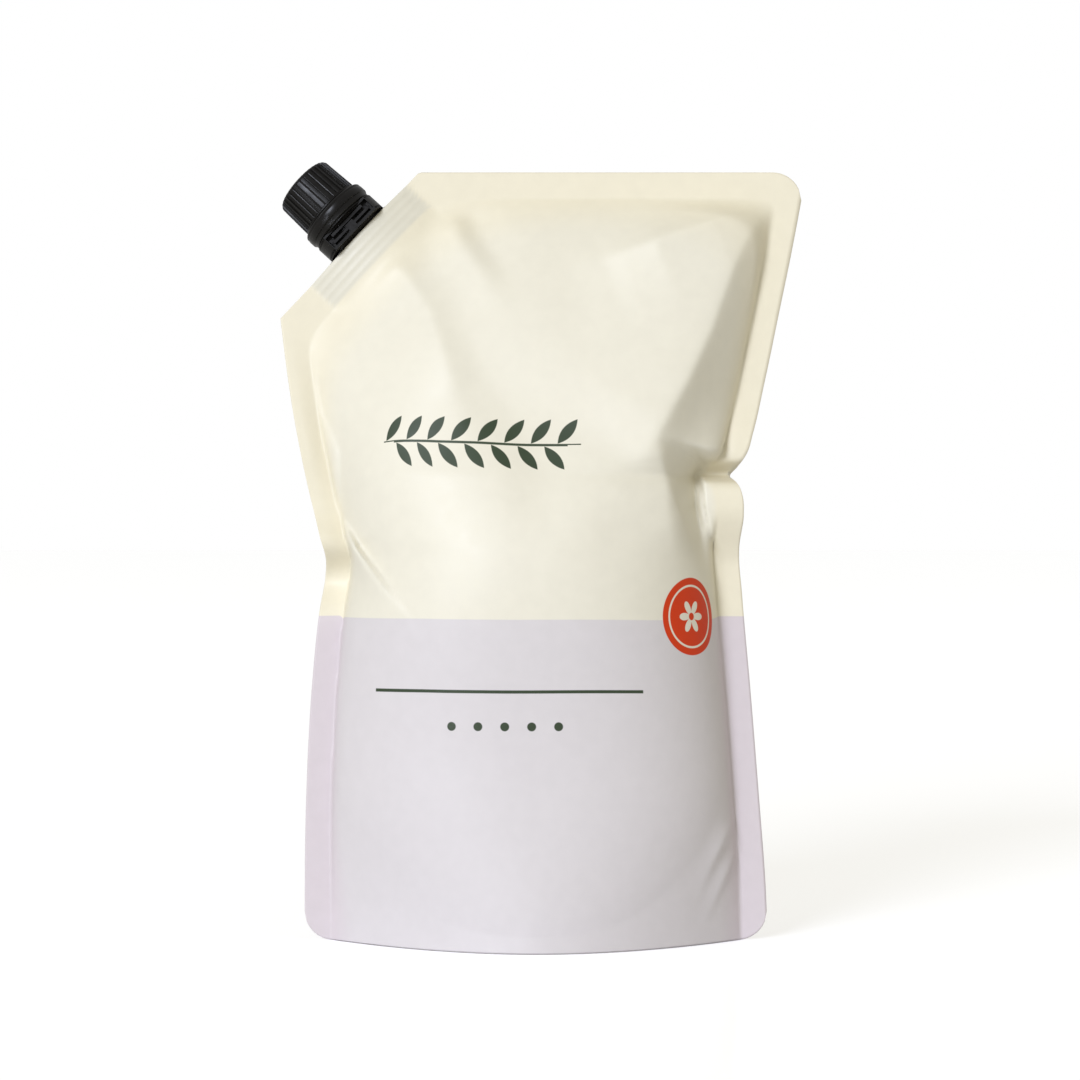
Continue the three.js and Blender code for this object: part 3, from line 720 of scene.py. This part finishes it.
# %% Spout frame
JOINT_LEVEL = 18
turn_joint = next(joint for joint in frame["joints"] if joint["name"] == "cap_turn")
spout_axis = Vector(turn_joint["axis"]).normalized()
spout_foot = Vector(turn_joint["pos_m"]) - spout_axis * JOINT_LEVEL * MM
foot_x, foot_z = spout_foot.x / MM, spout_foot.z / MM
edge_slope = float(mid_plane(foot_x + cut_along[0], foot_z + cut_along[1]) - mid_plane(foot_x, foot_z))
edge_run = Vector((cut_along[0], edge_slope, cut_along[1]))
spout_x = (edge_run - spout_axis * edge_run.dot(spout_axis)).normalized()
spout_y = spout_axis.cross(spout_x)
spout_turn = Matrix((spout_x, spout_y, spout_axis)).transposed().to_4x4()
spout_place = Matrix.Translation(spout_foot) @ spout_turn @ Matrix.Scale(MM, 4)
print("spout foot in mm:", [round(v / MM, 1) for v in spout_foot])

# %% [markdown]
# Moulding helpers. A moulding is made of a few closed shells: skins through rings of points, and outlines that are
# extruded and bevelled. They are joined to one mesh and put in place on the spout.

# %% Moulding helpers
ROUND_STEPS = 96
ring_angles = np.linspace(0, 2 * np.pi, ROUND_STEPS, endpoint=False)


def circle(radius, level):
    levels = np.full(ROUND_STEPS, level)
    return np.stack([radius * np.cos(ring_angles), radius * np.sin(ring_angles), levels], -1)


def lofted(rings):
    """A closed skin through rings of points, the last joined to the first, as a bmesh."""
    work = bmesh.new()
    rows = [[work.verts.new(point) for point in ring] for ring in rings]
    for k, row in enumerate(rows):
        above = rows[(k + 1) % len(rows)]
        for j in range(ROUND_STEPS):
            n = (j + 1) % ROUND_STEPS
            work.faces.new((row[j], row[n], above[n], above[j]))
    bmesh.ops.recalc_face_normals(work, faces=work.faces)
    return work


def slab(outline_points, low, high, bevel):
    """An outline extruded between two levels, with its edges rounded."""
    work = bmesh.new()
    lower = [work.verts.new((x, y, low)) for x, y in outline_points]
    upper = [work.verts.new((x, y, high)) for x, y in outline_points]
    work.faces.new(lower[::-1])
    work.faces.new(upper)
    for j in range(len(lower)):
        n = (j + 1) % len(lower)
        work.faces.new((lower[j], lower[n], upper[n], upper[j]))
    sharp = [edge for edge in work.edges if edge.calc_face_angle(0) > math.radians(30)]
    bmesh.ops.bevel(work, geom=sharp, offset=bevel, segments=2, profile=0.5, affect="EDGES")
    bmesh.ops.recalc_face_normals(work, faces=work.faces)
    return work


def block(x_span, y_span, z_span, bevel=0.12):
    corners = [(x_span[0], y_span[0]), (x_span[1], y_span[0]), (x_span[1], y_span[1]), (x_span[0], y_span[1])]
    return slab(corners, *z_span, bevel)


def moulding(name, shells):
    """One object on the spout from several shells in the spout's own frame."""
    joined = bmesh.new()
    for shell in shells:
        piece = bpy.data.meshes.new("shell")
        shell.to_mesh(piece)
        shell.free()
        joined.from_mesh(piece)
        bpy.data.meshes.remove(piece)
    joined.transform(spout_place)
    mesh = bpy.data.meshes.new(name)
    joined.to_mesh(mesh)
    joined.free()
    mesh.shade_smooth()
    mesh.set_sharp_from_angle(angle=math.radians(32))
    mesh.materials.append(moulded.material)
    made = bpy.data.objects.new(name, mesh)
    bpy.context.collection.objects.link(made)
    print(name, "has", len(mesh.polygons), "faces")
    return made


# %% [markdown]
# Geometry Nodes on the spout. The thread on the neck is a ridge that follows a helix, and the ribs of the cap
# are one rib repeated round it. Both follow a rule, so each is a small node tree with its sizes as named inputs.
# The result is turned into a plain mesh and joined to its moulding.

# %% Geometry Nodes helpers


class Tree:
    """A geometry node tree with named inputs, whose result is given back as a bmesh."""

    def __init__(self, name, **inputs):
        self.tree = bpy.data.node_groups.new(name, "GeometryNodeTree")
        self.tree.interface.new_socket("Geometry", in_out="INPUT", socket_type="NodeSocketGeometry")
        for input_name, value in inputs.items():
            kind = "NodeSocketInt" if isinstance(value, int) else "NodeSocketFloat"
            self.tree.interface.new_socket(input_name, in_out="INPUT", socket_type=kind)
        self.tree.interface.new_socket("Geometry", in_out="OUTPUT", socket_type="NodeSocketGeometry")
        self.values = inputs
        self.given = self.tree.nodes.new("NodeGroupInput").outputs

    def node(self, kind, output, settings=(), **inputs):
        made = self.tree.nodes.new(kind)
        for setting, value in dict(settings).items():
            setattr(made, setting, value)
        for name, value in inputs.items():
            socket = made.inputs[name.replace("_", " ")]
            if isinstance(value, bpy.types.NodeSocket):
                self.tree.links.new(value, socket)
            else:
                socket.default_value = value
        return made.outputs[output]

    def math(self, operation, first, second):
        made = self.tree.nodes.new("ShaderNodeMath")
        made.operation = operation
        for socket, value in zip(made.inputs, (first, second)):
            if isinstance(value, bpy.types.NodeSocket):
                self.tree.links.new(value, socket)
            else:
                socket.default_value = value
        return made.outputs[0]

    def result(self, geometry, start):
        """Ends the tree, runs it on the start mesh and returns the made mesh as a bmesh."""
        real = self.node("GeometryNodeRealizeInstances", "Geometry", Geometry=geometry)
        finished = self.node("GeometryNodeSetMaterial", "Geometry", Geometry=real, Material=moulded.material)
        end = self.tree.nodes.new("NodeGroupOutput")
        self.tree.links.new(finished, end.inputs[0])
        carrier = bpy.data.objects.new(self.tree.name, start)
        bpy.context.collection.objects.link(carrier)
        modifier = carrier.modifiers.new(self.tree.name, "NODES")
        modifier.node_group = self.tree
        for item in self.tree.interface.items_tree:
            if item.in_out == "INPUT" and item.name in self.values:
                modifier[item.identifier] = self.values[item.name]
        evaluated = carrier.evaluated_get(bpy.context.evaluated_depsgraph_get())
        mesh = bpy.data.meshes.new_from_object(evaluated)
        made = bmesh.new()
        made.from_mesh(mesh)
        carrier.modifiers.remove(modifier)
        bpy.data.objects.remove(carrier)
        print(self.tree.name, "made", len(mesh.polygons), "faces")
        bpy.data.meshes.remove(mesh)
        return made


# %% [markdown]
# The spout. One moulding: a boat that is welded between the films, a flange that the filling machine holds by
# its flats, a collar and the threaded neck. The boat, throat, bore and neck are one skin through rings of
# points, because they change from a pointed oval to a circle. The flange's plates, bars and boss are bevelled
# blocks, because the real ones catch the light along their edges.

# %% Spout
BOAT_HALF_LENGTH = 20
BOAT_HALF_WIDTH = 4.5
THROAT_HALF_LENGTH = 7.2
THROAT_HALF_WIDTH = 3.1
BORE_RADIUS = 7.5
NECK_RADIUS = 9.1
NECK_TOP = 22.7
COLLAR_RADIUS = 11.5
COLLAR_TOP = 10.2
FLANGE_LOW = 0.3
FLANGE_HIGH = 6.6
FLANGE_RADIUS = 13
FLANGE_HALF_WIDTH = 8.5
POCKET_DEPTH = 2.6
POCKET_HALF_LENGTH = 10
PLATE = 1.0
CORE_HALF_LENGTH = 11
UPPER_BAR_HALF = 7.4
UPPER_BAR_LEVELS = (4.4, 5.4)
LOWER_BAR_HALF = 9.2
LOWER_BAR_LEVELS = (2.25, 3.15)
BAR_BEVEL = 0.3
BOSS_HALF = 1.7
BOSS_LEVELS = (1.1, 4.0)
BOSS_PROUD = 0.12
END_RIB = (8.6, 9.4)
END_RIB_LEVELS = (1.3, 4.2)
THREAD_HEIGHT = 0.6
THREAD_PITCH = 2.6
THREAD_TURNS = 2.0
THREAD_LOW = 14.6


def oval(half_length, half_width, level, point):
    """A flattened ring: pointed at its ends where point is 2, an ellipse where it is 1."""
    across = half_width * np.sign(np.sin(ring_angles)) * np.abs(np.sin(ring_angles)) ** point
    return np.stack([half_length * np.cos(ring_angles), across, np.full(ROUND_STEPS, level)], -1)


def boat(level):
    return oval(BOAT_HALF_LENGTH, BOAT_HALF_WIDTH, level, 2)


def throat(level):
    return oval(THROAT_HALF_LENGTH, THROAT_HALF_WIDTH, level, 1)


spout_rings = [
    throat(-WELD_DEPTH), throat(3.0), circle(BORE_RADIUS, 3.4), circle(BORE_RADIUS, NECK_TOP - 0.5),
    circle(BORE_RADIUS + 0.4, NECK_TOP), circle(NECK_RADIUS - 0.4, NECK_TOP),
    circle(NECK_RADIUS, NECK_TOP - 0.4), circle(NECK_RADIUS, COLLAR_TOP + 0.5), circle(NECK_RADIUS + 0.5, COLLAR_TOP),
    circle(COLLAR_RADIUS - 0.4, COLLAR_TOP), circle(COLLAR_RADIUS, COLLAR_TOP - 0.4),
    circle(COLLAR_RADIUS, FLANGE_HIGH - 0.3), circle(COLLAR_RADIUS - 4, FLANGE_HIGH - 0.6),
    circle(COLLAR_RADIUS - 4, 0.8), boat(-0.5), boat(-0.8), boat(-WELD_DEPTH),
]
thread = Tree(
    "neck_thread", Radius=float(NECK_RADIUS), Height=THREAD_HEIGHT, Pitch=THREAD_PITCH, Turns=THREAD_TURNS
)
helix = thread.node(
    "GeometryNodeCurveSpiral", "Curve", Resolution=64, Rotations=thread.given["Turns"],
    Start_Radius=thread.given["Radius"], End_Radius=thread.given["Radius"],
    Height=thread.math("MULTIPLY", thread.given["Turns"], thread.given["Pitch"]),
)
ridge = thread.node("GeometryNodeCurvePrimitiveCircle", "Curve", Resolution=8, Radius=thread.given["Height"])
thread_mesh = thread.node("GeometryNodeCurveToMesh", "Mesh", Curve=helix, Profile_Curve=ridge, Fill_Caps=True)
thread_shell = thread.result(thread_mesh, bpy.data.meshes.new("thread_start"))
bmesh.ops.translate(thread_shell, verts=thread_shell.verts, vec=(0, 0, THREAD_LOW))


def flange_outline(half_width):
    """A circle with flats at the front and back."""
    turn = math.asin(half_width / FLANGE_RADIUS)
    arc = np.linspace(-turn, turn, 17)
    angles = np.concatenate([arc, arc + math.pi])
    return [(FLANGE_RADIUS * math.cos(angle), FLANGE_RADIUS * math.sin(angle)) for angle in angles]


def flange_end(side):
    """The solid end of the flange beside the pockets."""
    turn = math.asin(FLANGE_HALF_WIDTH / FLANGE_RADIUS)
    points = [(FLANGE_RADIUS * math.cos(angle), FLANGE_RADIUS * math.sin(angle))
              for angle in np.linspace(-turn, turn, 17)]
    points += [(POCKET_HALF_LENGTH, FLANGE_HALF_WIDTH), (POCKET_HALF_LENGTH, -FLANGE_HALF_WIDTH)]
    return [(side * x, side * y) for x, y in points]


core_half_width = FLANGE_HALF_WIDTH - POCKET_DEPTH
spout_shells = [
    lofted(spout_rings), thread_shell,
    slab(flange_outline(FLANGE_HALF_WIDTH), FLANGE_LOW, FLANGE_LOW + PLATE, 0.15),
    slab(flange_outline(FLANGE_HALF_WIDTH), FLANGE_HIGH - 0.8 * PLATE, FLANGE_HIGH, 0.15),
    block((-CORE_HALF_LENGTH, CORE_HALF_LENGTH), (-core_half_width, core_half_width),
          (FLANGE_LOW + 0.4, FLANGE_HIGH - 0.4)),
]
for side in (-1, 1):
    spout_shells.append(slab(flange_end(side), FLANGE_LOW + 0.2, FLANGE_HIGH - 0.2, 0.15))
    face = (side * (core_half_width - 0.4), side * (FLANGE_HALF_WIDTH - 0.1))
    face = (min(face), max(face))
    boss_face = (face[0] - BOSS_PROUD, face[1] + BOSS_PROUD)
    spout_shells.append(block((-UPPER_BAR_HALF, UPPER_BAR_HALF), face, UPPER_BAR_LEVELS, BAR_BEVEL))
    spout_shells.append(block((-LOWER_BAR_HALF, LOWER_BAR_HALF), face, LOWER_BAR_LEVELS, BAR_BEVEL))
    spout_shells.append(block((-BOSS_HALF, BOSS_HALF), boss_face, BOSS_LEVELS, 0.2))
    for end in (-1, 1):
        rib = (end * END_RIB[0], end * END_RIB[1])
        spout_shells.append(block((min(rib), max(rib)), face, END_RIB_LEVELS, 0.25))
spout_moulding = moulding("spout_moulding", spout_shells)

# %% [markdown]
# The tamper band. A ring that stays behind when the cap is lifted off: a smooth shoulder, a step, and a bead
# along its top edge. It is a turned profile, given as radius and level, with its edges eased so they shine.

# %% Tamper band
BAND_LOW = 6.9
BAND_HIGH = 12.5
BAND_INNER = 11.8
BAND_OUTER = 13.2
band_profile = [
    (BAND_INNER, BAND_LOW + 0.2), (BAND_INNER + 0.2, BAND_LOW), (BAND_OUTER - 0.85, BAND_LOW),
    (BAND_OUTER - 0.6, BAND_LOW + 0.2), (BAND_OUTER - 0.55, BAND_LOW + 1.5),
    (BAND_OUTER - 0.45, BAND_LOW + 1.75), (BAND_OUTER - 0.12, BAND_LOW + 1.9), (BAND_OUTER, BAND_LOW + 2.2),
    (BAND_OUTER, BAND_HIGH - 1.5), (BAND_OUTER - 0.1, BAND_HIGH - 1.2), (BAND_OUTER - 0.22, BAND_HIGH - 1.0),
    (BAND_OUTER - 0.1, BAND_HIGH - 0.75), (BAND_OUTER - 0.1, BAND_HIGH - 0.4),
    (BAND_OUTER - 0.35, BAND_HIGH - 0.08), (BAND_OUTER - 0.7, BAND_HIGH),
    (BAND_INNER + 0.2, BAND_HIGH), (BAND_INNER, BAND_HIGH - 0.2),
]
band_moulding = moulding("band_moulding", [lofted([circle(radius, level) for radius, level in band_profile])])

# %% [markdown]
# The screw cap. A tapered cup with a rounded top edge and thin upright ribs for grip. The cup is turned from a
# profile, and one rib is made and repeated round it by a node tree.

# %% Screw cap
CAP_LOW = 12.8
CAP_HIGH = 27.2
CAP_UNDER_TOP = 25.8
CAP_BORE = 9.95
CAP_RADIUS = 11.7
CAP_TAPER = 0.05
RIB_COUNT = 34
RIB_HEIGHT = 0.55
RIB_WIDTH = 0.8
RIB_ROOT = 0.15
EDGE_RADIUS = 1.6


def cap_wall(level):
    """Radius of the cup between the ribs, at a level."""
    return CAP_RADIUS * (1 - CAP_TAPER * (level - CAP_LOW) / (CAP_HIGH - CAP_LOW)) - RIB_HEIGHT


def cap_edge(steps=7):
    """The rounded top edge as (radius, level)."""
    turns = np.linspace(0, math.pi / 2, steps)
    low = CAP_HIGH - EDGE_RADIUS
    wall = cap_wall(low)
    return [(wall - EDGE_RADIUS * (1 - math.cos(t)), low + EDGE_RADIUS * math.sin(t)) for t in turns]


cap_profile = [(0.02, CAP_UNDER_TOP), (CAP_BORE - 0.3, CAP_UNDER_TOP), (CAP_BORE, CAP_UNDER_TOP - 0.3),
               (CAP_BORE, CAP_LOW + 0.2), (CAP_BORE + 0.2, CAP_LOW), (cap_wall(CAP_LOW) + 0.2, CAP_LOW),
               (cap_wall(CAP_LOW) + 0.4, CAP_LOW + 0.2), (cap_wall(CAP_LOW) + 0.4, CAP_LOW + 0.7),
               (cap_wall(CAP_LOW), CAP_LOW + 0.95)]
cap_profile += cap_edge() + [(0.02, CAP_HIGH)]


def one_rib():
    """A rounded rib on the +x side of the cap, from the lower bead to the rounded top edge."""
    spine = [(cap_wall(CAP_LOW + 0.8), CAP_LOW + 0.8)] + cap_edge()[:-1]
    shares = (-0.5, -0.28, 0, 0.28, 0.5)
    work = bmesh.new()
    rows = []
    for k, (radius, level) in enumerate(spine):
        fade = 1 - max(0, k - 1) / (len(spine) - 1)
        row = []
        for share in shares:
            rise = -RIB_ROOT if abs(share) == 0.5 else RIB_HEIGHT * fade * (1 - 2.2 * share**2)
            row.append(work.verts.new((radius + rise, share * RIB_WIDTH, level)))
        rows.append(row)
    for row, above in zip(rows, rows[1:]):
        for j in range(len(shares) - 1):
            work.faces.new((row[j], row[j + 1], above[j + 1], above[j]))
        work.faces.new((row[-1], row[0], above[0], above[-1]))
    work.faces.new(rows[0][::-1])
    work.faces.new(rows[-1])
    bmesh.ops.recalc_face_normals(work, faces=work.faces)
    mesh = bpy.data.meshes.new("rib")
    work.to_mesh(mesh)
    work.free()
    return mesh


ribs = Tree("cap_ribs", Ribs=RIB_COUNT)
turn_step = ribs.math("DIVIDE", 2 * math.pi, ribs.given["Ribs"])
rib_turn = ribs.node("ShaderNodeCombineXYZ", "Vector",
                     Z=ribs.math("MULTIPLY", ribs.node("GeometryNodeInputIndex", "Index"), turn_step))
rib_points = ribs.node("GeometryNodePoints", "Points", Count=ribs.given["Ribs"])
rib_ring = ribs.node("GeometryNodeInstanceOnPoints", "Instances", Points=rib_points,
                     Instance=ribs.given["Geometry"], Rotation=rib_turn)
rib_shell = ribs.result(rib_ring, one_rib())
cap_cup = lofted([circle(radius, level) for radius, level in cap_profile])
cap_moulding = moulding("cap_moulding", [cap_cup, rib_shell])

# %% [markdown]
# The pieces. Each one takes the place of its solid in the imported model and moves with that solid's body.

# %% Pieces on their bodies
for piece, node, body, slot in (
    (pouch_film, "pouch", "pack", "film"),
    (spout_moulding, "spout", "pack", "black_plastic"),
    (band_moulding, "tamper_band", "band", "black_plastic"),
    (cap_moulding, "screw_cap", "cap", "black_plastic"),
):
    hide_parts(node)
    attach(piece, body)
print("four pieces ride on the bodies pack, band and cap")

# %% [markdown]
# The studio. The pack stands on a white floor in soft light from the left front, as in a catalogue picture. The
# floor glows a little to the camera alone, so it is white without more light on the pack, and it keeps the
# pack's shadow. The light from all round is slightly warm, and the lamp slightly cool. Reflections see the white
# surroundings at half strength, so the black plastic stays dark.

# %% Floor
FLOOR_GLOW = 0.45
floor_mesh = bpy.data.meshes.new("floor")
floor_mesh.from_pydata([(-30, -20, 0), (30, -20, 0), (30, 40, 0), (-30, 40, 0)], [], [(0, 1, 2, 3)])
floor = bpy.data.objects.new("floor", floor_mesh)
bpy.context.collection.objects.link(floor)
paper = Wiring("white_floor")
paper.shader.inputs["Base Color"].default_value = (0.9, 0.92, 0.98, 1)
paper.shader.inputs["Roughness"].default_value = 0.16
paper.shader.inputs["Specular IOR Level"].default_value = 0.2
paper.shader.inputs["Emission Color"].default_value = (1, 1, 1, 1)
seen = paper.node("ShaderNodeLightPath", "Is Camera Ray")
paper.feed(paper.shader.inputs["Emission Strength"], paper.math("MULTIPLY", seen, FLOOR_GLOW))
floor.data.materials.append(paper.material)
print("white floor laid")

# %% Light
LAMP_TO_LEFT = 28
LAMP_UP = 19
LAMP_ENERGY = 2.15
LAMP_SPREAD = 21
ROUND_LIGHT = 0.49
MIRRORED_LOSS = 0.5
lamp_data = bpy.data.lights.new("soft_lamp", "SUN")
lamp_data.energy = LAMP_ENERGY
lamp_data.angle = math.radians(LAMP_SPREAD)
lamp_data.color = (0.94, 0.99, 1.13)
lamp = bpy.data.objects.new("soft_lamp", lamp_data)
lamp.rotation_euler = (math.radians(90 - LAMP_UP), 0, math.radians(-LAMP_TO_LEFT))
bpy.context.collection.objects.link(lamp)

world = bpy.data.worlds.new("studio")
bpy.context.scene.world = world
world.use_nodes = True
world_nodes, world_links = world.node_tree.nodes, world.node_tree.links
round_light = world_nodes["Background"]
round_light.inputs["Color"].default_value = (1.0, 0.93, 0.72, 1)
round_light.inputs["Strength"].default_value = ROUND_LIGHT
white = world_nodes.new("ShaderNodeBackground")
white.inputs["Color"].default_value = (1, 1, 1, 1)
path = world_nodes.new("ShaderNodeLightPath")
mirrored = world_nodes.new("ShaderNodeMath")
mirrored.operation = "MULTIPLY_ADD"
mirrored.inputs[1].default_value = -MIRRORED_LOSS
mirrored.inputs[2].default_value = 1.0
world_links.new(path.outputs["Is Glossy Ray"], mirrored.inputs[0])
world_links.new(mirrored.outputs[0], white.inputs["Strength"])
shown = path.outputs["Is Camera Ray"]
for other in ("Is Glossy Ray", "Is Transmission Ray"):
    either = world_nodes.new("ShaderNodeMath")
    either.operation = "MAXIMUM"
    world_links.new(shown, either.inputs[0])
    world_links.new(path.outputs[other], either.inputs[1])
    shown = either.outputs[0]
choose = world_nodes.new("ShaderNodeMixShader")
world_links.new(shown, choose.inputs[0])
world_links.new(round_light.outputs[0], choose.inputs[1])
world_links.new(white.outputs[0], choose.inputs[2])
world_links.new(choose.outputs[0], world_nodes["World Output"].inputs["Surface"])
print("lit by a soft lamp", LAMP_TO_LEFT, "degrees to the left and", LAMP_UP, "degrees up")
